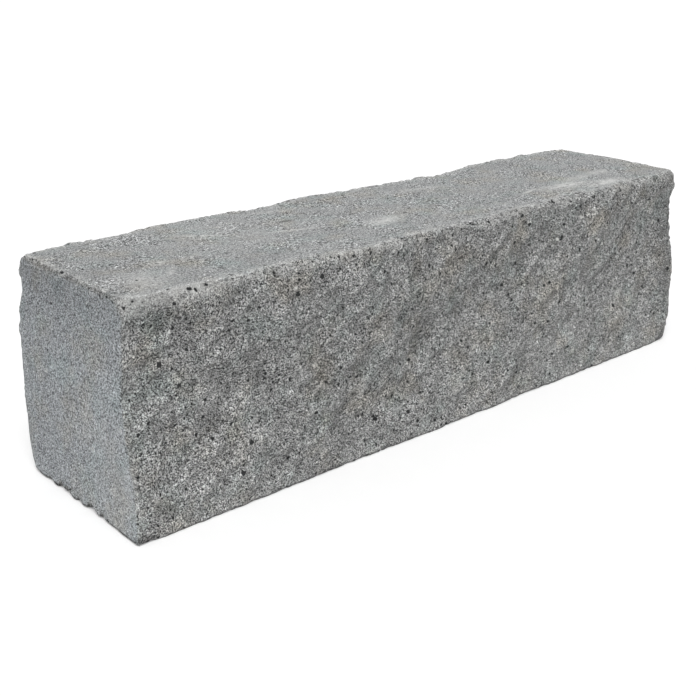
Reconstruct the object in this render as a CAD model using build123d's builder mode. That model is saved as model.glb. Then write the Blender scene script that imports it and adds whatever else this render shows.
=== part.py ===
from build123d import *
from math import ceil, cos, exp, pi, radians, sin
from typing import NamedTuple
import os

# Concrete walling block: one cast of concrete, split off along both long sides.
# Millimetres. The origin is the middle of the bottom bed, +X runs along the block,
# -Y is the front split face and +Z is up. The beds and the two ends are cast flat,
# and the front and back are broken faces that wander about their split lines.

# Cast size
length = 600.0  # end to end
depth = 150.0  # from the front split line to the back split line
height = 170.0  # bed to bed
end_arris_radius = 2.5  # the cast edges between the beds and the ends, worn round

# Split: straight where the blade bites at the bottom, wild further up
blade_reach = 22.0  # height over which the relief grows from the bottom split line

# Crumbling: the edge between the top bed and each broken face has fallen away in a strip
crumble_width = 3.6  # mean width taken off the bed, and off the face below it
crumble_change = 1.5  # how much wider and narrower than that the strip gets
crumble_pitch = 95.0  # from one wide stretch of the strip to the next

# Where the broken faces are measured
station_pitch = 20.0  # along the block
row_pitch = 14.0  # up the face
overrun = 6.0  # how far each broken surface is carried past the edges that it crosses
surface_fit = 0.02  # how close a broken surface follows its measured points


class Swell(NamedTuple):
    """A long rise and fall of the broken face, seen as ridges that cross it."""

    crest: float  # mm out from the mean face
    pitch: float  # mm from ridge to ridge
    slant: float  # degrees between the direction across the ridges and the bed
    start: float  # degrees of the wave at the middle of the bottom bed


class Hollow(NamedTuple):
    """A scoop out of the broken face, or a belly that stands out of it."""

    deep: float  # mm into the block, less than nothing for a belly
    along: float  # mm from the middle of the block
    up: float  # mm above the bottom bed
    wide: float  # mm from its middle to its side
    tall: float  # mm from its middle to its lip


class Knock(NamedTuple):
    """A corner knocked off the block."""

    end: int  # -1 is the left end, 1 is the right end
    side: int  # -1 is the front, 1 is the back
    bed: int  # 0 is the bottom, 1 is the top
    size: float  # mm taken off each edge that meets the corner


class Split(NamedTuple):
    """The broken surface of one long side."""

    side: int  # -1 is the front, 1 is the back
    lean: float  # mm that its top edge stands out at mid length
    swells: list
    hollows: list


front = Split(
    side=-1,
    lean=5.5,
    swells=[
        Swell(crest=1.7, pitch=185.0, slant=-38.0, start=20.0),
        Swell(crest=1.4, pitch=118.0, slant=28.0, start=150.0),
        Swell(crest=1.1, pitch=84.0, slant=-64.0, start=250.0),
        Swell(crest=0.9, pitch=73.0, slant=12.0, start=80.0),
    ],
    hollows=[
        Hollow(deep=9.0, along=-300.0, up=82.0, wide=62.0, tall=32.0),
        Hollow(deep=7.0, along=-300.0, up=150.0, wide=60.0, tall=62.0),
        Hollow(deep=5.0, along=152.0, up=170.0, wide=26.0, tall=30.0),
        Hollow(deep=3.5, along=-40.0, up=70.0, wide=70.0, tall=34.0),
        Hollow(deep=3.0, along=215.0, up=95.0, wide=46.0, tall=40.0),
        Hollow(deep=4.0, along=300.0, up=118.0, wide=44.0, tall=30.0),
        Hollow(deep=-3.0, along=-120.0, up=128.0, wide=60.0, tall=30.0),
    ],
)

back = Split(
    side=1,
    lean=-1.0,
    swells=[
        Swell(crest=2.0, pitch=205.0, slant=24.0, start=200.0),
        Swell(crest=1.5, pitch=126.0, slant=-47.0, start=40.0),
        Swell(crest=1.1, pitch=88.0, slant=70.0, start=300.0),
        Swell(crest=0.8, pitch=74.0, slant=-8.0, start=120.0),
    ],
    hollows=[
        Hollow(deep=-4.5, along=-300.0, up=66.0, wide=90.0, tall=66.0),
        Hollow(deep=3.5, along=-300.0, up=46.0, wide=45.0, tall=20.0),
        Hollow(deep=-3.5, along=-300.0, up=108.0, wide=45.0, tall=20.0),
        Hollow(deep=3.2, along=-300.0, up=150.0, wide=22.0, tall=17.0),
        Hollow(deep=-7.5, along=-260.0, up=170.0, wide=34.0, tall=48.0),
        Hollow(deep=-5.5, along=-182.0, up=170.0, wide=28.0, tall=48.0),
        Hollow(deep=-9.0, along=-30.0, up=170.0, wide=42.0, tall=48.0),
        Hollow(deep=-5.0, along=192.0, up=170.0, wide=30.0, tall=36.0),
        Hollow(deep=8.0, along=85.0, up=170.0, wide=80.0, tall=48.0),
        Hollow(deep=4.5, along=290.0, up=150.0, wide=120.0, tall=60.0),
        Hollow(deep=3.5, along=-150.0, up=95.0, wide=64.0, tall=36.0),
        Hollow(deep=-3.5, along=120.0, up=62.0, wide=80.0, tall=34.0),
    ],
)

knocks = [
    Knock(end=-1, side=-1, bed=1, size=17.0),
    Knock(end=-1, side=1, bed=0, size=4.0),
    Knock(end=-1, side=1, bed=1, size=7.0),
    Knock(end=1, side=-1, bed=1, size=6.0),
    Knock(end=1, side=1, bed=0, size=11.0),
]


def relief(face, along, up):
    """How far a broken face stands out of its split line at one place."""
    out = face.lean * cos(pi * along / length) * up / height
    for swell in face.swells:
        angle = radians(swell.slant)
        run = along * cos(angle) + up * sin(angle)
        out += swell.crest * sin(2 * pi * run / swell.pitch + radians(swell.start))
    for hollow in face.hollows:
        sideways = (along - hollow.along) / hollow.wide
        upward = (up - hollow.up) / hollow.tall
        out -= hollow.deep * exp(-(sideways**2) - upward**4)
    above_blade = max(up, 0.0) / blade_reach
    return out * (1 - exp(-(above_blade**2)))


def evenly_spaced(low, high, pitch):
    """Places from low to high, no further apart than the pitch."""
    count = ceil((high - low) / pitch)
    return [low + (high - low) * i / count for i in range(count + 1)]


def stations():
    """The places along the block where the broken surfaces are measured."""
    return evenly_spaced(-length / 2 - overrun, length / 2 + overrun, station_pitch)


def fracture(face):
    """The broken face itself, from below the bottom bed to above the top bed."""
    rows = [
        [(x, face.side * (depth / 2 + relief(face, x, z)), z) for x in stations()]
        for z in evenly_spaced(-overrun, height + overrun, row_pitch)
    ]
    return Face.make_surface_from_array_of_points(rows, tol=surface_fit, min_deg=3)


def crumbled_strip(face):
    """The sloping strip left along the top edge of a broken face."""
    rows = []
    for rise in (-overrun, 0.0, overrun):
        row = []
        for x in stations():
            edge = depth / 2 + relief(face, x, height)
            wave = sin(2 * pi * x / crumble_pitch + face.side)
            half_width = (crumble_width + crumble_change * wave) / 2
            y = face.side * (edge - half_width - rise)
            row.append((x, y, height - half_width + rise))
        rows.append(row)
    return Face.make_surface_from_array_of_points(rows, tol=surface_fit)


with BuildPart() as walling_block:
    # The casting is twice as deep as the block, and what lies outside the splits is waste
    with BuildSketch(Plane.XY):
        Rectangle(length, 2 * depth)
    extrude(amount=height)
    fillet(walling_block.edges().filter_by(Axis.Y), radius=end_arris_radius)

    # Each long side is split off along its fracture, and its top edge crumbles
    for face in (front, back):
        extrude(fracture(face), amount=depth, dir=(0, face.side, 0), mode=Mode.SUBTRACT)
        crumbs = crumbled_strip(face)
        extrude(crumbs, amount=2 * overrun, dir=(0, face.side, 1), mode=Mode.SUBTRACT)

    # Corners knocked off in handling
    for knock in knocks:
        inward = Vector(-knock.end, -knock.side, 1 - 2 * knock.bed)
        corner = Vector(knock.end * length / 2, knock.side * depth / 2, knock.bed * height)
        facet = Plane(origin=corner + inward * (knock.size / 3), z_dir=inward)
        split(bisect_by=facet, keep=Keep.TOP)

walling_block.part.label = "walling_block"

os.makedirs("parts", exist_ok=True)
export_step(walling_block.part, "parts/walling_block.step")
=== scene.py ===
"""Dresses the concrete walling block: its crumbled surface, its concrete and a plain studio."""
import random
from math import cos, floor, radians, sin
from typing import NamedTuple

import bmesh
import bpy
from bpy.props import (
    FloatProperty,
    FloatVectorProperty,
    IntProperty,
    PointerProperty,
)
from mathutils import Matrix, Vector, noise
from mathutils.bvhtree import BVHTree
from mathutils.kdtree import KDTree


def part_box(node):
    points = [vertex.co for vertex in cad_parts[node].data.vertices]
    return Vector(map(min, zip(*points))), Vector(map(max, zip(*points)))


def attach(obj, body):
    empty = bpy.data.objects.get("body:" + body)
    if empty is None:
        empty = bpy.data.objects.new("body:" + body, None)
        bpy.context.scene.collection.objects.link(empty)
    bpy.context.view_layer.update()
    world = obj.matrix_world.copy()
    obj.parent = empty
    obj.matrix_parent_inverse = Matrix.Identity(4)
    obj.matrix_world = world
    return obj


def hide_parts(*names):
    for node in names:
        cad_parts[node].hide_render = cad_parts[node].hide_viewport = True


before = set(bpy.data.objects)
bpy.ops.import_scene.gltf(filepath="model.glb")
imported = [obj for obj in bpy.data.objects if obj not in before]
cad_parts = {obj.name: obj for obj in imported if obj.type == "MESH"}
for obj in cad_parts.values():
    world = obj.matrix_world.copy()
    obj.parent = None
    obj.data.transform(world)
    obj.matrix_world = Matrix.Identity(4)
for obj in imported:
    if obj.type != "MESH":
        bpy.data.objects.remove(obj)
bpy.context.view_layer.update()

bl_info = {
    "name": "Split Walling Block",
    "version": (1, 0, 0),
    "blender": (4, 5, 0),
    "location": "3D View > Sidebar > Walling Block",
    "description": "Makes the worn concrete surface of a split walling block and lights it",
    "category": "Object",
}

NODE = "walling_block"
MM = 0.001

# Distances from a face or an edge: up to the first it counts as near, past the second as far
NEAR_FACE = (5 * MM, 16 * MM)
NEAR_CORNER = (0.0, 24 * MM)
NEAR_ARRIS = (2 * MM, 10 * MM)

BLADE_REACH = 22 * MM  # height over which the relief grows from the bottom split line
STREAK_LENGTH = 30 * MM
STREAK_WIDTH = 9 * MM
MARKS = ("broken", "arris", "hollow", "pore")  # what the mesh tells the shader


class BlockSettings(bpy.types.PropertyGroup):
    """The sizes of the block's broken and worn surface."""

    cell: FloatProperty(
        name="Cell",
        description="Spacing of the mesh along and up the broken faces",
        default=1.5 * MM,
        precision=5,
        unit="LENGTH",
    )
    across_cell: FloatProperty(
        name="Cell Across",
        description="Spacing of the mesh from the front to the back",
        default=2.2 * MM,
        precision=5,
        unit="LENGTH",
    )
    triangles: IntProperty(
        name="Triangles",
        description="How many triangles are kept when the flat parts are thinned out",
        default=196000,
    )
    wear: FloatProperty(
        name="Wear",
        description="Radius that every edge is worn to",
        default=0.9 * MM,
        precision=5,
        unit="LENGTH",
    )
    corner_wear: FloatProperty(
        name="Corner Wear",
        description="What the corners are worn on top of that",
        default=0.9 * MM,
        precision=5,
        unit="LENGTH",
    )
    crumb: FloatProperty(
        name="Crumb",
        description="Radius of the crumbs lost along the edges",
        default=5.0 * MM,
        precision=5,
        unit="LENGTH",
    )
    crumb_size: FloatProperty(
        name="Crumb Size",
        description="Distance from one lost crumb to the next",
        default=8.0 * MM,
        precision=5,
        unit="LENGTH",
    )
    chip: FloatProperty(
        name="Chip",
        description="Radius of the chips along the bottom edges of the ends",
        default=13.0 * MM,
        precision=5,
        unit="LENGTH",
    )
    chip_size: FloatProperty(
        name="Chip Size",
        description="Distance from one chip to the next",
        default=15.0 * MM,
        precision=5,
        unit="LENGTH",
    )
    hummock: FloatProperty(
        name="Hummock",
        description="Height of the soft humps on the broken faces",
        default=3.1 * MM,
        precision=5,
        unit="LENGTH",
    )
    hummock_size: FloatProperty(
        name="Hummock Size",
        description="Distance from one hump to the next",
        default=46.0 * MM,
        precision=5,
        unit="LENGTH",
    )
    facet: FloatProperty(
        name="Facet",
        description="Height of the small planes that the concrete broke along",
        default=1.5 * MM,
        precision=5,
        unit="LENGTH",
    )
    facet_size: FloatProperty(
        name="Facet Size",
        description="Width of one such plane",
        default=13.0 * MM,
        precision=5,
        unit="LENGTH",
    )
    streak: FloatProperty(
        name="Streak",
        description="Height of the slanting ridges that the split left",
        default=1.9 * MM,
        precision=5,
        unit="LENGTH",
    )
    streak_slant: FloatProperty(
        name="Streak Slant",
        description="Angle of those ridges to the beds",
        subtype="ANGLE",
        default=radians(34.0),
    )
    grain: FloatProperty(
        name="Grain",
        description="Height of the aggregate grains that stand out of the broken faces",
        default=0.85 * MM,
        precision=5,
        unit="LENGTH",
    )
    grain_size: FloatProperty(
        name="Grain Size",
        description="Width of the larger grains",
        default=4.4 * MM,
        precision=5,
        unit="LENGTH",
    )
    cast_waviness: FloatProperty(
        name="Cast Waviness",
        description="How much the cast faces dip",
        default=0.15 * MM,
        precision=5,
        unit="LENGTH",
    )
    pores: IntProperty(
        name="Pores",
        description="How many open pores each broken face has",
        default=150,
    )
    pore_radius: FloatProperty(
        name="Pore Radius",
        description="Radius of a large open pore",
        default=2.1 * MM,
        precision=5,
        unit="LENGTH",
    )
    seed: IntProperty(
        name="Seed", description="Picks where the pores and the broken planes are", default=11
    )


class ConcreteSettings(bpy.types.PropertyGroup):
    """The colours of the concrete, and the sizes of its grain."""

    broken_colour: FloatVectorProperty(
        name="Broken Colour",
        description="Concrete where it was split",
        subtype="COLOR",
        default=(0.311, 0.313, 0.310),
    )
    cast_colour: FloatVectorProperty(
        name="Cast Colour",
        description="Cement skin of the beds and ends",
        subtype="COLOR",
        default=(0.358, 0.364, 0.366),
    )
    pale_colour: FloatVectorProperty(
        name="Pale Colour",
        description="Bruised edges and scuffs",
        subtype="COLOR",
        default=(0.70, 0.70, 0.685),
    )
    white_colour: FloatVectorProperty(
        name="White Colour",
        description="Single white grains",
        subtype="COLOR",
        default=(0.8, 0.8, 0.77),
    )
    dark_colour: FloatVectorProperty(
        name="Dark Colour",
        description="Pores and dark grains",
        subtype="COLOR",
        default=(0.03, 0.031, 0.032),
    )
    brown_tint: FloatVectorProperty(
        name="Brown Tint",
        description="Multiplies the colour of the faint warm patches",
        subtype="COLOR",
        default=(1.0, 0.955, 0.88),
    )
    green_tint: FloatVectorProperty(
        name="Green Tint",
        description="Multiplies the colour of the faint cool patches",
        subtype="COLOR",
        default=(0.93, 1.0, 0.985),
    )
    end_tint: FloatVectorProperty(
        name="End Tint",
        description="Multiplies the colour of the two ends, which are a little bluer",
        subtype="COLOR",
        default=(0.945, 0.975, 1.01),
    )
    speckle_size: FloatProperty(
        name="Speckle Size",
        description="Width of the fine light and dark speckles",
        default=0.95 * MM,
        precision=5,
        unit="LENGTH",
    )
    cloud_size: FloatProperty(
        name="Cloud Size",
        description="Width of the soft light and dark patches",
        default=60.0 * MM,
        precision=4,
        unit="LENGTH",
    )
    stone_spacing: FloatProperty(
        name="Stone Spacing",
        description="Distance from one dark or pale stone to the next",
        default=13.0 * MM,
        precision=4,
        unit="LENGTH",
    )
    roughness: FloatProperty(
        name="Roughness", description="Mean roughness of the concrete", default=0.92
    )


class StudioSettings(bpy.types.PropertyGroup):
    """The floor, the lamps and the camera."""

    floor_colour: FloatVectorProperty(
        name="Floor Colour",
        description="Plain pale floor",
        subtype="COLOR",
        default=(0.86, 0.86, 0.86),
    )
    floor_width: FloatProperty(
        name="Floor Width",
        description="Side of the square floor",
        default=30.0,
        unit="LENGTH",
    )
    sun_strength: FloatProperty(
        name="Sun Strength",
        description="Strength of the soft key light",
        default=2.0,
    )
    sun_spread: FloatProperty(
        name="Sun Spread",
        description="Apparent width of the key light; a wide one casts soft shadows",
        subtype="ANGLE",
        default=radians(28.0),
    )
    sun_side: FloatVectorProperty(
        name="Sun Side",
        description="The direction that the key light comes from",
        subtype="DIRECTION",
        default=(-0.32, -0.38, 0.87),
    )
    sky_strength: FloatProperty(
        name="Sky Strength",
        description="Even light from all round",
        default=0.46,
    )
    floor_lift: FloatProperty(
        name="Floor Lift",
        description="What the camera sees on top of the lit floor, which makes it white",
        default=0.2,
    )
    camera_place: FloatVectorProperty(
        name="Camera Place",
        description="Where the camera stands, fitted to the block's photographed corners",
        subtype="TRANSLATION",
        default=(-0.6490, -0.6861, 0.4052),
    )
    camera_heading: FloatProperty(
        name="Camera Heading",
        description="Turn of the camera to the right of the block's front",
        subtype="ANGLE",
        default=radians(41.1),
    )
    camera_tilt: FloatProperty(
        name="Camera Tilt",
        description="How far the camera looks down",
        subtype="ANGLE",
        default=radians(15.15),
    )
    lens: FloatProperty(
        name="Lens", description="Focal length in mm for a 36 mm frame", default=60.35
    )
    camera_shift: FloatProperty(
        name="Camera Shift",
        description="Vertical shift, because the photograph is part of a larger frame",
        default=-0.1705,
    )


class Patch(NamedTuple):
    """An oval mark on the block: pale for a scuff, dark for a darker patch; some are painted
    light and painted shade.
    """

    middle: tuple  # metres, along, across and up
    reach: tuple  # half its length, width and height in metres
    turn: float  # degrees that its length is turned from the block's
    strength: float


# Pale marks: scuffs, and one broad painted bounce light on the lower front part of the left end
SCUFFS_AND_PAINTED_LIGHT = (
    Patch((-0.178, 0.031, 0.17), (0.038, 0.0035, 0.006), -38.0, 0.85),
    Patch((-0.116, -0.003, 0.17), (0.042, 0.0030, 0.006), -20.0, 0.80),
    Patch((-0.150, 0.020, 0.17), (0.080, 0.0600, 0.006), -20.0, 0.16),
    # Painted bounce light: the lower front part of the left end lighter, where the pale floor
    # lights it
    Patch((-0.300, -0.060, 0.030), (0.006, 0.0700, 0.070), 0.0, 0.16),
    Patch((-0.037, -0.030, 0.17), (0.028, 0.0130, 0.006), 3.0, 0.90),
    Patch((0.170, -0.046, 0.17), (0.042, 0.0120, 0.006), -4.0, 1.00),
    Patch((0.205, -0.061, 0.17), (0.038, 0.0110, 0.006), 2.0, 1.00),
    Patch((0.200, -0.033, 0.17), (0.038, 0.0090, 0.006), 5.0, 0.70),
    Patch((0.235, -0.030, 0.17), (0.022, 0.0110, 0.006), -3.0, 0.70),
    Patch((0.125, -0.040, 0.17), (0.024, 0.0035, 0.006), 14.0, 0.70),
    Patch((0.060, 0.030, 0.17), (0.040, 0.0080, 0.006), -14.0, 0.45),
    Patch((-0.090, 0.052, 0.17), (0.034, 0.0060, 0.006), -16.0, 0.45),
    Patch((-0.236, -0.012, 0.17), (0.010, 0.0050, 0.006), 20.0, 0.80),
    Patch((-0.240, -0.034, 0.17), (0.014, 0.0040, 0.006), 50.0, 0.70),
    Patch((-0.265, -0.040, 0.17), (0.030, 0.0300, 0.006), 40.0, 0.45),
    Patch((-0.290, -0.072, 0.168), (0.022, 0.0180, 0.014), 0.0, 0.75),
    Patch((-0.255, -0.072, 0.17), (0.060, 0.0120, 0.012), 0.0, 0.60),
    Patch((0.165, -0.080, 0.030), (0.130, 0.0300, 0.055), 0.0, 0.09),
)

# Darker patches. The two on the upper part of the left end and the one at the front's top-left
# corner are painted shade; the others only darken the colour
SHADE_AND_DARK_PATCHES = (
    # Painted shade: the upper part of the left end
    Patch((-0.300, 0.000, 0.190), (0.006, 0.260, 0.085), 0.0, 0.19),
    Patch((-0.300, 0.030, 0.180), (0.006, 0.100, 0.040), 0.0, 0.13),
    Patch((-0.300, 0.080, 0.085), (0.006, 0.095, 0.130), 0.0, 0.08),
    Patch((0.300, -0.080, 0.090), (0.040, 0.050, 0.100), 0.0, 0.24),
    # Painted shade at the front's top-left corner
    Patch((-0.255, -0.075, 0.140), (0.050, 0.040, 0.024), 0.0, 0.09),
    Patch((-0.285, 0.020, 0.170), (0.085, 0.120, 0.002), 0.0, 0.06),
    Patch((-0.099, 0.020, 0.170), (0.009, 0.003, 0.006), -10.0, 0.50),
)


def merged_copy(source):
    """A bmesh of the CAD piece with its loose triangles joined up."""
    bm = bmesh.new()
    bm.from_mesh(source.data)
    bmesh.ops.remove_doubles(bm, verts=bm.verts, dist=1e-6)
    return bm


class Extent(NamedTuple):
    """The CAD block's box, and how far its two broken faces reach at each place."""

    low: Vector
    high: Vector
    tree: BVHTree
    known: dict

    def reach(self, along, up):
        """Where the front and the back lie at one place, read a little inside the edges."""
        key = (round(along, 6), round(up, 6))
        if key not in self.known:
            for inset in (0.4 * MM, 1.2 * MM, 3.0 * MM):
                x = min(max(along, self.low.x + inset), self.high.x - inset)
                z = min(max(up, self.low.z + inset), self.high.z - inset)
                before, behind = Vector((x, self.low.y - 1, z)), Vector((x, self.high.y + 1, z))
                front = self.tree.ray_cast(before, Vector((0, 1, 0)))[0]
                back = self.tree.ray_cast(behind, Vector((0, -1, 0)))[0]
                if front and back:
                    break
            self.known[key] = (front.y, back.y)
        return self.known[key]


def grid_box(low, high, cell, across_cell):
    """A closed box of six fine grids."""
    size = high - low
    counts = [round(size.x / cell), round(size.y / across_cell), round(size.z / cell)]
    turns = {
        2: Matrix.Identity(4),
        1: Matrix.Rotation(radians(90), 4, "X"),
        0: Matrix.Rotation(radians(90), 4, "Y"),
    }
    spans = {2: (counts[0], counts[1]), 1: (counts[0], counts[2]), 0: (counts[2], counts[1])}
    bm = bmesh.new()
    for axis, turn in turns.items():
        for side in (-0.5, 0.5):
            offset = Vector((0, 0, 0))
            offset[axis] = side
            bmesh.ops.create_grid(
                bm,
                x_segments=spans[axis][0],
                y_segments=spans[axis][1],
                size=0.5,
                matrix=Matrix.Translation(offset) @ turn,
            )
    bmesh.ops.remove_doubles(bm, verts=bm.verts, dist=1e-5)
    bmesh.ops.scale(bm, vec=size, verts=bm.verts)
    bmesh.ops.translate(bm, vec=(low + high) / 2, verts=bm.verts)
    bmesh.ops.recalc_face_normals(bm, faces=bm.faces)
    return bm


def field(point, size, shift=0.0):
    """A smooth random field, from about -1 to 1, that changes over the given size.

    The shift picks another part of the field, so that two uses don't match.
    """
    return noise.noise(point / size + Vector((shift, shift, shift)))


def eased(value, low, high):
    """0 below low, 1 above high and a smooth step between."""
    t = min(max((value - low) / (high - low), 0.0), 1.0)
    return t * t * (3 - 2 * t)


class Cover(NamedTuple):
    """How a vertex lies under its three nearest faces: the end, the broken face and the bed."""

    inward: Vector  # signs that point away from each of them into the block
    depth: Vector  # how deep it lies under each of them


def cover_of(place, extent):
    """Works out how one place lies under its three nearest faces."""
    front, back = extent.reach(place.x, place.z)
    to_front, to_back = place.y - front, back - place.y
    to_left, to_right = place.x - extent.low.x, extent.high.x - place.x
    to_foot, to_head = place.z - extent.low.z, extent.high.z - place.z
    inward = Vector(
        (
            1 if to_left < to_right else -1,
            1 if to_front < to_back else -1,
            1 if to_foot < to_head else -1,
        )
    )
    depth = Vector((min(to_left, to_right), min(to_front, to_back), min(to_foot, to_head)))
    return Cover(inward, Vector(max(d, 0.0) for d in depth))


def notches(run, spacing, salt):
    """Notches of unequal size along an edge, up to 1 at the deepest point of the largest.

    Each edge has a salt of its own, so that no two of them crumble alike.
    """
    deepest = 0.0
    first = floor(run / spacing)
    for cell in (first - 1, first, first + 1):
        chance = noise.cell_vector(Vector((cell + 0.5, salt + 0.5, 0.5)))
        middle = (cell + chance.x) * spacing
        reach = spacing * (0.3 + 0.5 * chance.y)
        deepest = max(deepest, (1 - abs(run - middle) / reach) * chance.z)
    return deepest


def wear_radius(place, cover, shape, height):
    """The radius that an edge near this place is worn, crumbled and chipped to."""
    near_end, near_split, near_bed = (1 - eased(d, *NEAR_FACE) for d in cover.depth)
    rise = place.z / height
    end, side, bed = cover.inward
    worn = shape.wear * (1 + 0.5 * field(place, shape.grain_size, 80.0))
    worn += shape.corner_wear * (1 - eased(sum(cover.depth), *NEAR_CORNER))

    def crumbs(run, salt):
        large = notches(run, shape.crumb_size, salt)
        small = notches(run, shape.crumb_size / 2.3, salt + 1)
        return shape.crumb * (0.8 * large + 0.4 * small)

    chips = shape.chip * notches(place.y, shape.chip_size, 5 * end + 120)
    return worn + max(
        crumbs(place.x, 3 * side + 7 * bed) * (0.4 + 0.45 * rise) * near_split * near_bed,
        crumbs(place.z, 3 * side + 50 * end) * 0.5 * near_split * near_end,
        crumbs(place.y, 5 * end + 90 * bed) * 0.55 * rise * near_end * near_bed,
        chips * (1 - rise) * near_end * near_bed * (1 - 0.5 * near_split),
    )


def rounded(place, cover, radius):
    """Moves a place onto the rounded edge. Also says how far it moved."""
    short = Vector(max(radius - d, 0.0) for d in cover.depth)
    if short.length <= radius:
        return place, 0.0
    shift = Vector(
        (radius - s * radius / short.length) - d if s > 0 else 0.0
        for s, d in zip(short, cover.depth)
    )
    move = Vector(s * i for s, i in zip(shift, cover.inward))
    return place + move, move.length


def facet_relief(point, shape, size):
    """Small tilted planes with steps between them, as concrete breaks."""
    warp = noise.noise_vector(point / (2 * size)) * 0.5
    spot = point / size + warp
    distances, middles = noise.voronoi(spot)
    chance = noise.cell_vector(middles[0] * 37.0)
    tilt = (spot - middles[0]).dot(chance - Vector((0.5, 0.5, 0.5)))
    softness = eased(distances[1] - distances[0], 0.0, 0.25)
    return shape.facet * ((chance.x - 0.5) * 0.9 + tilt * 1.3) * (0.4 + 0.6 * softness)


def streak_relief(point, shape, inward):
    """Slanting ridges left by the split, long one way and short the other."""
    slant = shape.streak_slant
    along = (point.x * cos(slant) + point.z * sin(slant)) / STREAK_LENGTH
    across = (point.z * cos(slant) - point.x * sin(slant)) / STREAK_WIDTH
    patch = 0.4 + 0.9 * eased(field(point, 60 * MM, 17.0), -0.3, 0.3)
    return shape.streak * patch * noise.noise(Vector((along, across, 5.0 * inward)))


def grain_relief(point, shape):
    """Aggregate grains and the gaps between them."""
    coarse = field(point, shape.grain_size, 3.0)
    fine = field(point, shape.grain_size * 0.6, 9.0)
    return shape.grain * (0.65 * coarse + 0.45 * fine)


def broken_relief(point, shape, inward):
    """How far the broken face stands out at one place, and the fine part of that."""
    humps = shape.hummock * noise.fractal(point / shape.hummock_size, 1.0, 2.0, 3)
    fine = facet_relief(point, shape, shape.facet_size)
    fine += 0.5 * facet_relief(point, shape, shape.facet_size * 0.5)
    fine += grain_relief(point, shape)
    streaks = streak_relief(point, shape, inward)
    return humps + streaks + fine, fine + 0.7 * streaks


def cast_relief(point, shape):
    """How far a cast face dips at one place."""
    wave = field(point, 55 * MM, 21.0) + 0.5 * field(point, 8 * MM, 23.0)
    return shape.cast_waviness * (0.5 * wave - 0.7)


def sink_pores(bm, marks, picks, shape, chance):
    """Opens pores in the surface and marks them for the shader."""
    tree = KDTree(len(bm.verts))
    for vert in bm.verts:
        tree.insert(vert.co, vert.index)
    tree.balance()
    bm.verts.ensure_lookup_table()
    pore = marks["pore"]
    for index, scale in picks:
        middle = bm.verts[index].co.copy()
        inside = -bm.verts[index].normal.copy()
        radius = shape.pore_radius * scale * (0.4 + 0.6 * chance.random() ** 2)
        depth = radius * chance.uniform(0.5, 0.9)
        drawn = Vector(chance.uniform(-1, 1) for _ in range(3)).normalized()
        stretch = chance.uniform(0.0, 0.45)
        for co, near, _ in tree.find_range(middle, 1.8 * radius):
            away = co - middle
            away = away - stretch * away.dot(drawn) * drawn
            share = 1 - (away.length / radius) ** 2
            if share > 0:
                bm.verts[near].co = bm.verts[near].co + inside * depth * share
                bm.verts[near][pore] = max(bm.verts[near][pore], share)


def thin_out(obj, triangles):
    """Collapses the flattest parts of a mesh until it has few enough triangles."""
    obj.data.calc_loop_triangles()
    thinning = obj.modifiers.new("thin the flat parts", "DECIMATE")
    thinning.ratio = triangles / len(obj.data.loop_triangles)
    thinning.use_collapse_triangulate = True
    graph = bpy.context.evaluated_depsgraph_get()
    thinned = bpy.data.meshes.new_from_object(
        obj.evaluated_get(graph), preserve_all_data_layers=True, depsgraph=graph
    )
    obj.modifiers.clear()
    old = obj.data
    obj.data = thinned
    bpy.data.meshes.remove(old)
    thinned.name = obj.name


def hold_inside(mesh, extent):
    """Moves what stands out of the CAD block's box back onto it."""
    for vert in mesh.vertices:
        held = (min(max(c, a), b) for c, a, b in zip(vert.co, extent.low, extent.high))
        vert.co = Vector(held)


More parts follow.
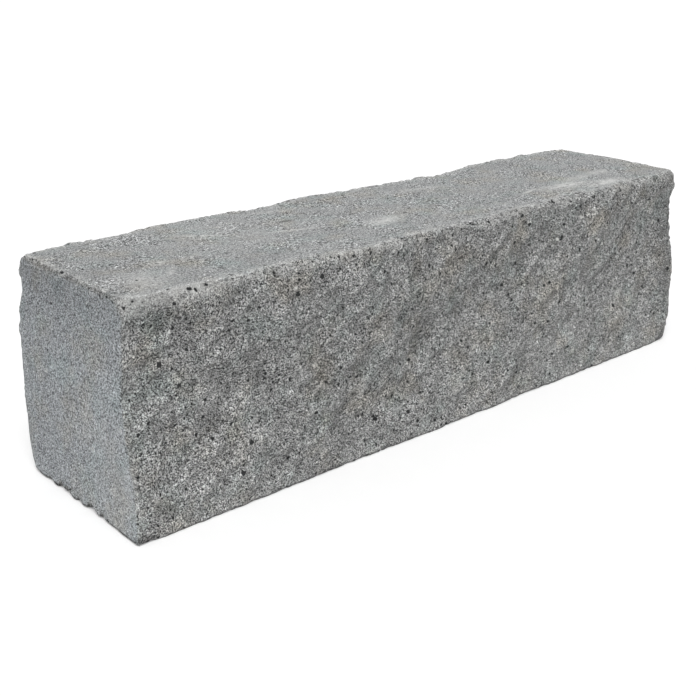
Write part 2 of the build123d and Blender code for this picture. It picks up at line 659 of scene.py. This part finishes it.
class Nodes:
    """Adds and joins the nodes of one material."""

    def __init__(self, material):
        material.use_nodes = True
        self.tree = material.node_tree
        self.shader = self.tree.nodes["Principled BSDF"]
        self.place = self.add("ShaderNodeTexCoord").outputs["Object"]
        self.along, self.across, self.up = self.add(
            "ShaderNodeSeparateXYZ", [(0, self.place)]
        ).outputs

    def put(self, socket, value):
        """Links an output to a socket, or sets the socket's own value."""
        if isinstance(value, bpy.types.NodeSocket):
            self.tree.links.new(value, socket)
        elif socket.type == "VECTOR":
            socket.default_value = value[:3]
        else:
            socket.default_value = value

    def add(self, kind, inputs=(), **settings):
        """Adds a node. Inputs are pairs of a socket's name or number and its value."""
        node = self.tree.nodes.new(kind)
        for name, value in settings.items():
            setattr(node, name, value)
        for key, value in inputs:
            self.put(node.inputs[key], value)
        return node

    def math(self, operation, *values):
        """Works out one sum of numbers."""
        return self.add("ShaderNodeMath", enumerate(values), operation=operation).outputs[0]

    def local(self, middle=(0, 0, 0), turn=(0, 0, 0), size=(1, 1, 1)):
        """The place as seen from a mark with its own middle, turn and size."""
        pairs = [
            ("Vector", self.place),
            ("Location", middle),
            ("Rotation", turn),
            ("Scale", size),
        ]
        return self.add("ShaderNodeMapping", pairs, vector_type="TEXTURE").outputs[0]

    def noise(self, size, detail=2.0, roughness=0.5, where=None):
        """Smooth random shades, from 0 to 1, that change over the given size."""
        pairs = [
            ("Vector", where or self.place),
            ("Scale", 1 / size),
            ("Detail", detail),
            ("Roughness", roughness),
        ]
        return self.add("ShaderNodeTexNoise", pairs).outputs["Fac"]

    def bent(self, size, reach):
        """The place, shaken about over the given size, so that round marks get ragged."""
        pairs = [("Vector", self.place), ("Scale", 1 / size), ("Detail", 2.0)]
        shake = self.add("ShaderNodeTexNoise", pairs).outputs["Color"]
        pairs = [(0, shake), (1, (0.5, 0.5, 0.5))]
        shift = self.add("ShaderNodeVectorMath", pairs, operation="SUBTRACT")
        shift = self.tone(shift.outputs[0], reach)
        return self.add("ShaderNodeVectorMath", [(0, self.place), (1, shift)]).outputs[0]

    def cells(self, spacing, where=None):
        """Random cells: the distance from a cell's middle, and its random colour."""
        pairs = [("Vector", where or self.place), ("Scale", 1 / spacing)]
        node = self.add("ShaderNodeTexVoronoi", pairs)
        parts = self.add("ShaderNodeSeparateColor", [("Color", node.outputs["Color"])])
        return node.outputs["Distance"], parts.outputs

    def band(self, value, low, high, out_low=0.0, out_high=1.0):
        """Maps a stretch of values to another, held at its ends."""
        pairs = [(0, value), (1, low), (2, high), (3, out_low), (4, out_high)]
        return self.add("ShaderNodeMapRange", pairs).outputs[0]

    def swing(self, value, low, high, reach, share):
        """A factor about 1. As the value rises it swings by reach each way, times the share."""
        swung = self.math("MULTIPLY", self.band(value, low, high, -reach, reach), share)
        return self.math("ADD", 1.0, swung)

    def blend(self, share, first, second, how="MIX"):
        """Mixes two colours."""
        pairs = [(0, share), (6, first), (7, second)]
        node = self.add("ShaderNodeMix", pairs, data_type="RGBA", blend_type=how)
        return node.outputs[2]

    def tone(self, colour, factor):
        """Multiplies a colour by a number."""
        node = self.add("ShaderNodeVectorMath", [(0, colour)], operation="SCALE")
        self.put(node.inputs["Scale"], factor)
        return node.outputs[0]

    def mark(self, name):
        """A mark that the mesh carries."""
        return self.add("ShaderNodeAttribute", attribute_name=name).outputs["Fac"]

    def finish(self, values):
        """Gives the shader its values, by the names of its sockets."""
        for name, value in values.items():
            self.put(self.shader.inputs[name], value)


class Stones(NamedTuple):
    """Stones of one kind, scattered over the block."""

    spacing: float  # from one place for a stone to the next, times the stone spacing
    radius: float  # of the largest one
    share: float  # how many of the places hold one
    strength: float  # how much of the concrete's own colour they hide
    colour: str  # the setting that holds their colour


STONES = (
    Stones(1.3, 2.4 * MM, 0.24, 0.55, "white_colour"),
    Stones(0.36, 0.9 * MM, 0.5, 0.7, "white_colour"),
    Stones(0.85, 1.95 * MM, 0.65, 0.97, "dark_colour"),
    Stones(0.55, 1.35 * MM, 0.42, 0.97, "dark_colour"),
    Stones(0.3, 0.75 * MM, 0.5, 0.8, "dark_colour"),
)

WHITE = (1, 1, 1)


def opaque(colour):
    """A colour with full opacity, as a colour socket takes it."""
    return (*colour, 1.0)


def speck_mask(nodes, where, spacing, radius, share):
    """Scattered specks of unequal size. Share is how many of the cells hold one."""
    distance, chance = nodes.cells(spacing, where)
    size = nodes.band(chance[1], 0.0, 1.0, 0.45 * radius / spacing, radius / spacing)
    inside = nodes.math("LESS_THAN", distance, size)
    chosen = nodes.math("LESS_THAN", chance[0], share)
    return nodes.math("MULTIPLY", inside, chosen)


def patch_mask(nodes, patches, core, joined):
    """Where the marks of one list lie. Each is at full strength within its core share."""
    total = 0.0
    for patch in patches:
        spot = nodes.local(patch.middle, (0, 0, radians(patch.turn)), patch.reach)
        away = nodes.add("ShaderNodeVectorMath", [(0, spot)], operation="LENGTH")
        mark = nodes.band(away.outputs["Value"], core, 1.0, patch.strength, 0.0)
        total = nodes.math(joined, total, mark)
    return total


class Surface(NamedTuple):
    """What the steps of the concrete share. All but the distances run from 0 to 1."""

    broken: bpy.types.NodeSocket  # 1 on broken concrete, 0 on the cement skin
    arris: bpy.types.NodeSocket  # 1 along the edges
    hollow: bpy.types.NodeSocket  # 0 in the gaps of the relief, 1 on what stands out
    pore: bpy.types.NodeSocket  # 1 at the bottom of an open pore
    far_along: bpy.types.NodeSocket  # distance from the middle of the block
    end: bpy.types.NodeSocket  # 1 on the two ends
    fine: bpy.types.NodeSocket  # fine speckle
    grit: bpy.types.NodeSocket  # speckle about twice as coarse
    grain_distance: bpy.types.NodeSocket  # distance from the middle of a grain
    grain_chance: bpy.types.NodeSocket  # random number of a grain


def surface_of(nodes, look):
    """Reads the marks of the mesh and makes the speckle."""
    far_along = nodes.math("ABSOLUTE", nodes.along)
    grain_distance, grain_chances = nodes.cells(look.speckle_size * 1.6)
    return Surface(
        *(nodes.mark(name) for name in MARKS),
        far_along=far_along,
        end=nodes.band(far_along, 0.2975, 0.2990),
        fine=nodes.noise(look.speckle_size, 3.0, 0.7),
        grit=nodes.noise(look.speckle_size * 1.9, 2.0, 0.6, nodes.local(middle=(1, 2, 3))),
        grain_distance=grain_distance,
        grain_chance=grain_chances[0],
    )


def rough_concrete(nodes, look, surface):
    """Broken concrete: strong speckle, partly painted shade between the grains, single grains
    that are lighter or darker, painted shade in the gaps of the relief with painted light on
    what stands out, and painted bounce light low down.
    """
    colour = opaque(look.broken_colour)
    clouds = nodes.noise(look.cloud_size, 4.0, 0.6)
    for shade, low, high, darkest, palest in (
        # The speckle is partly the concrete's grain and partly painted shade: darkest where the
        # fine bump is lowest, between the grains
        (surface.fine, 0.41, 0.59, 0.02, 1.98),
        (surface.grain_chance, 0.0, 1.0, 0.6, 1.4),
        (surface.grit, 0.32, 0.68, 0.86, 1.14),
        (clouds, 0.3, 0.7, 0.95, 1.05),
        # Painted shade and light: darker in the gaps of the relief, lighter on what stands out
        (surface.hollow, 0.1, 0.9, 0.76, 1.19),
        # Painted bounce light: lighter towards the bottom and darker towards the top, as the
        # pale floor lights the lower part more
        (nodes.up, 0.0, 0.17, 1.1, 0.97),
    ):
        colour = nodes.tone(colour, nodes.band(shade, low, high, darkest, palest))
    return colour


def cement_skin(nodes, look, surface):
    """Skin of the cast faces: fine stipple, soft clouds drawn out along them, and crumbs."""
    # The beds crumble in patches, the ends don't
    crumbled = nodes.noise(26 * MM, 3.0, 0.6, nodes.local(middle=(5, 5, 5)))
    crumbled = nodes.band(crumbled, 0.44, 0.58)
    crumbled = nodes.math("MULTIPLY", crumbled, nodes.band(surface.end, 1, 0))

    stipple = nodes.band(crumbled, 0.0, 1.0, 0.72, 1.0)
    stipple = nodes.math("MAXIMUM", stipple, nodes.math("MULTIPLY", surface.end, 0.95))
    pitting = nodes.band(surface.end, 0.0, 1.0, 0.36, 0.24)
    drawn = nodes.noise(look.cloud_size * 0.3, 4.0, 0.78, nodes.local(size=(2.0, 1, 1)))
    crumbs = nodes.noise(look.speckle_size * 2.3, 4.0, 0.8, nodes.local(middle=(2, 5, 9)))

    colour = opaque(look.cast_colour)
    colour = nodes.tone(colour, nodes.swing(surface.fine, 0.38, 0.62, 1.0, stipple))
    colour = nodes.tone(colour, nodes.swing(surface.grit, 0.34, 0.66, 1.0, pitting))
    colour = nodes.tone(colour, nodes.band(drawn, 0.35, 0.65, 0.92, 1.08))
    colour = nodes.tone(colour, nodes.swing(crumbs, 0.4, 0.6, 0.75, crumbled))
    tint = nodes.blend(surface.end, opaque(WHITE), opaque(look.end_tint))
    return nodes.blend(1.0, colour, tint, "MULTIPLY")


def stained(nodes, look, colour):
    """Faint brown and green patches, and the darker ones, partly painted shade."""
    brown = nodes.noise(34 * MM, 3.0, 0.6)
    green = nodes.noise(27 * MM, 3.0, 0.6, nodes.local(middle=(3, 3, 3)))
    for stain, full, tint in ((brown, 0.72, look.brown_tint), (green, 0.74, look.green_tint)):
        tone = nodes.blend(nodes.band(stain, 0.5, full), opaque(WHITE), opaque(tint))
        colour = nodes.blend(1.0, colour, tone, "MULTIPLY")
    # Painted shade on the upper left end and at the front's top-left corner, with other darker
    # patches
    shade_and_dark = patch_mask(nodes, SHADE_AND_DARK_PATCHES, 0.4, "ADD")
    return nodes.tone(colour, nodes.math("SUBTRACT", 1.0, shade_and_dark))


def bruised(nodes, look, surface, colour):
    """Crumbs of unequal shade along the edges, then the pale bruises, the scuffs and a painted
    bounce light low on the left end.
    """
    crumbs = nodes.noise(2.6 * MM, 3.0, 0.7, nodes.local(middle=(9, 1, 4)))
    edge = nodes.math("MULTIPLY", surface.arris, nodes.band(surface.end, 0.0, 1.0, 1.0, 0.4))
    colour = nodes.tone(colour, nodes.swing(crumbs, 0.4, 0.6, 0.4, edge))

    bruise = surface.arris
    crumbly = nodes.noise(9 * MM, 3.0, 0.7, nodes.local(middle=(7, 7, 7)))
    for share, low, high, at_low, at_high in (
        (crumbly, 0.42, 0.58, 0.05, 1.0),
        (surface.broken, 0.0, 1.0, 1.0, 0.75),
        (surface.fine, 0.4, 0.56, 0.1, 1.0),
        (surface.end, 0.0, 1.0, 1.0, 0.25),
    ):
        bruise = nodes.math("MULTIPLY", bruise, nodes.band(share, low, high, at_low, at_high))

    # The scuffs, and painted bounce light low on the left end
    scuffs_and_light = patch_mask(nodes, SCUFFS_AND_PAINTED_LIGHT, 0.1, "MAXIMUM")
    ragged = nodes.noise(4 * MM, 4.0, 0.7, nodes.local(size=(2.0, 1, 1)))
    scuffs_and_light = nodes.math("MULTIPLY", scuffs_and_light, nodes.band(ragged, 0.4, 0.55, 0.35, 1.0))
    pale = nodes.math("MAXIMUM", bruise, scuffs_and_light)
    return nodes.blend(pale, colour, opaque(look.pale_colour))


def stony(nodes, look, surface, colour):
    """Single white and dark stones, fewer of them on the skin, and the open pores, painted near
    black as painted shade.
    """
    place = nodes.bent(2.2 * MM, 2.6 * MM)
    for stones in STONES:
        spacing = look.stone_spacing * stones.spacing
        specks = speck_mask(nodes, place, spacing, stones.radius, stones.share)
        specks = nodes.math("MULTIPLY", specks, nodes.band(surface.broken, 0.0, 1.0, 0.6, 1.0))
        specks = nodes.math("MULTIPLY", specks, stones.strength)
        colour = nodes.blend(specks, colour, opaque(getattr(look, stones.colour)))
    # Painted shade: the bottoms of the open pores, which are pits in the mesh, near black
    return nodes.blend(nodes.band(surface.pore, 0.2, 0.5), colour, opaque(look.dark_colour))


def painted_ground_shade(nodes, surface, colour):
    """Painted contact shadow: darker just above the ground, higher up in the chips of the ends,
    none underneath.
    """
    chipped = nodes.math("MULTIPLY", surface.broken, nodes.band(surface.far_along, 0.282, 0.29))
    reach = nodes.band(chipped, 0.0, 1.0, 2.5 * MM, 9 * MM)
    contact_shadow = nodes.math("SUBTRACT", 1.0, nodes.math("DIVIDE", nodes.up, reach))
    contact_shadow = nodes.math("MULTIPLY", contact_shadow, nodes.band(nodes.up, 0.3 * MM, 0.9 * MM))
    # Painted shadow where the block meets the floor and in the undercut chips
    return nodes.tone(colour, nodes.band(contact_shadow, 0.0, 0.6, 1.0, 0.45))


def fine_relief(nodes, surface):
    """Relief finer than the mesh, deeper on the broken concrete than on the skin."""
    rough = nodes.band(surface.fine, 0.2, 0.8, -0.5 * MM, 0.5 * MM)
    grains = nodes.band(surface.grain_distance, 0.0, 0.6, 0.35 * MM, 0.0)
    rough = nodes.math("ADD", rough, grains)
    skin = nodes.band(surface.fine, 0.2, 0.8, -0.2 * MM, 0.2 * MM)
    height = nodes.add("ShaderNodeMix", [(0, surface.broken), (2, skin), (3, rough)])
    pairs = [("Strength", 0.8), ("Distance", 1.0), ("Height", height.outputs[0])]
    return nodes.add("ShaderNodeBump", pairs).outputs[0]


def concrete(look):
    """The block's concrete: broken faces, cast skin, bruised edges, stones and pores."""
    material = bpy.data.materials.new("concrete")
    nodes = Nodes(material)
    surface = surface_of(nodes, look)
    skin = cement_skin(nodes, look, surface)
    rough = rough_concrete(nodes, look, surface)
    colour = nodes.blend(surface.broken, skin, rough)
    colour = stained(nodes, look, colour)
    colour = bruised(nodes, look, surface, colour)
    colour = stony(nodes, look, surface, colour)
    # Painted contact shadow low down and in the chips of the ends
    colour = painted_ground_shade(nodes, surface, colour)
    smoothest, roughest = look.roughness - 0.06, look.roughness + 0.06
    nodes.finish(
        {
            "Base Color": colour,
            "Normal": fine_relief(nodes, surface),
            "Roughness": nodes.band(surface.grit, 0.3, 0.7, smoothest, roughest),
            "Specular IOR Level": 0.25,
        }
    )
    return material


def lay_on_form(bm, marks, extent):
    """Slides each vertex along Y to between the broken faces, and sets it on the CAD form."""
    width = extent.high.y - extent.low.y
    for vert in bm.verts:
        share = (vert.co.y - extent.low.y) / width
        front, back = extent.reach(vert.co.x, vert.co.z)
        laid = Vector((vert.co.x, front + (back - front) * share, vert.co.z))
        vert.co, normal = extent.tree.find_nearest(laid)[:2]
        flat = max(abs(normal.x), abs(normal.z))
        vert[marks["broken"]] = 1 - eased(flat, 0.94, 0.985)


def wear_edges(bm, marks, shape, extent):
    """Wears the edges round, crumbles and chips them, and marks what that laid bare."""
    height = extent.high.z - extent.low.z
    for vert in bm.verts:
        cover = cover_of(vert.co, extent)
        radius = wear_radius(vert.co, cover, shape, height)
        to_edge = sorted(cover.depth)[1]
        high_up = 0.3 + 0.7 * eased(vert.co.z, 0.88 * height, 0.97 * height)
        vert[marks["arris"]] = (1 - eased(to_edge, *NEAR_ARRIS)) * high_up
        vert.co, moved = rounded(vert.co, cover, radius)
        lost = eased(moved, 0.15 * MM, 0.8 * MM)
        vert[marks["broken"]] = max(vert[marks["broken"]], lost)


def roughen(bm, marks, shape):
    """Breaks up the broken faces, and lets the cast faces dip a little."""
    tallest = shape.facet + shape.grain
    for vert in bm.verts:
        place = vert.co.copy()
        share = vert[marks["broken"]]
        blade = 0.4 + 0.6 * eased(place.z, 0.0, BLADE_REACH)
        out, fine = broken_relief(place, shape, 1 if place.y < 0 else -1)
        relief = share * blade * out + (1 - share) * cast_relief(place, shape)
        edge_crumbs = vert[marks["arris"]] * (1 - share)
        relief += edge_crumbs * min(grain_relief(place, shape), 0.0)
        vert.co = place + vert.normal * relief
        vert[marks["hollow"]] = min(max(0.5 + 0.9 * fine / tallest, 0.0), 1.0)


def pore_places(bm, marks, shape, chance):
    """Picks the vertices where pores open and their scale, most on the broken faces."""
    broken = [v.index for v in bm.verts if v[marks["broken"]] > 0.5]
    cast = [v.index for v in bm.verts if v[marks["broken"]] < 0.5]
    arris = [v.index for v in bm.verts if v[marks["arris"]] > 0.7]
    picks = [(i, 1.0) for i in chance.sample(broken, 2 * shape.pores)]
    picks += [(i, 0.7) for i in chance.sample(cast, shape.pores // 3)]
    picks += [(i, 0.9) for i in chance.sample(arris, shape.pores // 2)]
    return picks


def shaped_mesh(shape, extent):
    """The block's whole surface: laid on the CAD form, then worn, broken and pitted."""
    noise.seed_set(shape.seed)  # without a seed, noise vectors differ from run to run
    chance = random.Random(shape.seed)
    bm = grid_box(extent.low, extent.high, shape.cell, shape.across_cell)
    marks = {name: bm.verts.layers.float.new(name) for name in MARKS}
    bm.verts.ensure_lookup_table()
    lay_on_form(bm, marks, extent)
    wear_edges(bm, marks, shape, extent)
    bm.normal_update()
    roughen(bm, marks, shape)
    bm.normal_update()
    sink_pores(bm, marks, pore_places(bm, marks, shape, chance), shape, chance)
    return bm


class WALLING_OT_block(bpy.types.Operator):
    """Make the block's broken, worn and pitted concrete surface"""

    bl_idname = "walling.block"
    bl_label = "Make Block"

    def execute(self, context):
        shape = context.scene.block_shape
        form = merged_copy(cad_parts[NODE])
        tree = BVHTree.FromBMesh(form)
        form.free()
        low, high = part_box(NODE)
        extent = Extent(Vector(low), Vector(high), tree, {})
        bm = shaped_mesh(shape, extent)
        mesh = bpy.data.meshes.new("block_surface")
        bm.to_mesh(mesh)
        bm.free()
        block = bpy.data.objects.new("block_surface", mesh)
        context.collection.objects.link(block)
        thin_out(block, shape.triangles)
        hold_inside(block.data, extent)
        for face in block.data.polygons:
            face.use_smooth = True
        block.data.materials.append(concrete(context.scene.block_concrete))
        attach(block, "root")
        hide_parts(NODE)
        return {"FINISHED"}


def floor_material(studio):
    """A plain floor that the camera sees as white where no shadow falls."""
    material = bpy.data.materials.new("floor")
    nodes = Nodes(material)
    seen = nodes.add("ShaderNodeLightPath").outputs["Is Camera Ray"]
    nodes.finish(
        {
            "Base Color": opaque(studio.floor_colour),
            "Emission Color": opaque(WHITE),
            "Emission Strength": nodes.math("MULTIPLY", seen, studio.floor_lift),
            "Roughness": 1.0,
            "Specular IOR Level": 0.0,
        }
    )
    return material


class WALLING_OT_studio(bpy.types.Operator):
    """Make the floor, the lamps and the camera"""

    bl_idname = "walling.studio"
    bl_label = "Make Studio"

    def execute(self, context):
        studio = context.scene.block_studio
        self.make_floor(context, studio)
        self.make_light(context, studio)
        self.make_camera(context, studio)
        context.scene.view_settings.view_transform = "Standard"
        return {"FINISHED"}

    def make_floor(self, context, studio):
        bm = bmesh.new()
        bmesh.ops.create_grid(bm, x_segments=1, y_segments=1, size=studio.floor_width / 2)
        mesh = bpy.data.meshes.new("floor")
        bm.to_mesh(mesh)
        bm.free()
        ground = bpy.data.objects.new("floor", mesh)
        context.collection.objects.link(ground)
        ground.data.materials.append(floor_material(studio))

    def make_light(self, context, studio):
        sun = bpy.data.lights.new("sun", "SUN")
        sun.energy = studio.sun_strength
        sun.angle = studio.sun_spread
        holder = bpy.data.objects.new("sun", sun)
        holder.location = Vector(studio.sun_side) * 3
        holder.rotation_euler = Vector(studio.sun_side).to_track_quat("Z", "Y").to_euler()
        context.collection.objects.link(holder)

        world = bpy.data.worlds.new("studio")
        world.use_nodes = True
        sky = world.node_tree.nodes["Background"]
        sky.inputs["Color"].default_value = opaque(WHITE)
        rays = world.node_tree.nodes.new("ShaderNodeLightPath")
        strength = world.node_tree.nodes.new("ShaderNodeMapRange")
        strength.inputs["To Min"].default_value = studio.sky_strength
        strength.inputs["To Max"].default_value = 1.0
        world.node_tree.links.new(rays.outputs["Is Camera Ray"], strength.inputs["Value"])
        world.node_tree.links.new(strength.outputs[0], sky.inputs["Strength"])
        context.scene.world = world

    def make_camera(self, context, studio):
        lens = bpy.data.cameras.new("camera")
        lens.sensor_width = 36.0
        lens.lens = studio.lens
        lens.shift_y = studio.camera_shift
        camera = bpy.data.objects.new("camera", lens)
        camera.location = studio.camera_place
        level = radians(90)
        camera.rotation_euler = (level - studio.camera_tilt, 0, -studio.camera_heading)
        context.collection.objects.link(camera)
        context.scene.camera = camera


class WALLING_PT_panel(bpy.types.Panel):
    """The walling block's settings and steps"""

    bl_idname = "WALLING_PT_panel"
    bl_label = "Walling Block"
    bl_space_type = "VIEW_3D"
    bl_region_type = "UI"
    bl_category = "Walling Block"

    def draw(self, context):
        steps = (
            (context.scene.block_shape, None),
            (context.scene.block_concrete, WALLING_OT_block),
            (context.scene.block_studio, WALLING_OT_studio),
        )
        for settings, operator in steps:
            column = self.layout.column()
            for name in settings.__annotations__:
                column.prop(settings, name)
            if operator:
                column.operator(operator.bl_idname)


CLASSES = (
    BlockSettings,
    ConcreteSettings,
    StudioSettings,
    WALLING_OT_block,
    WALLING_OT_studio,
    WALLING_PT_panel,
)


def register():
    for item in CLASSES:
        bpy.utils.register_class(item)
    bpy.types.Scene.block_shape = PointerProperty(type=BlockSettings)
    bpy.types.Scene.block_concrete = PointerProperty(type=ConcreteSettings)
    bpy.types.Scene.block_studio = PointerProperty(type=StudioSettings)


def unregister():
    del bpy.types.Scene.block_studio
    del bpy.types.Scene.block_concrete
    del bpy.types.Scene.block_shape
    for item in reversed(CLASSES):
        bpy.utils.unregister_class(item)


def main():
    register()
    bpy.ops.walling.studio()
    bpy.ops.walling.block()


if __name__ == "__main__":
    main()
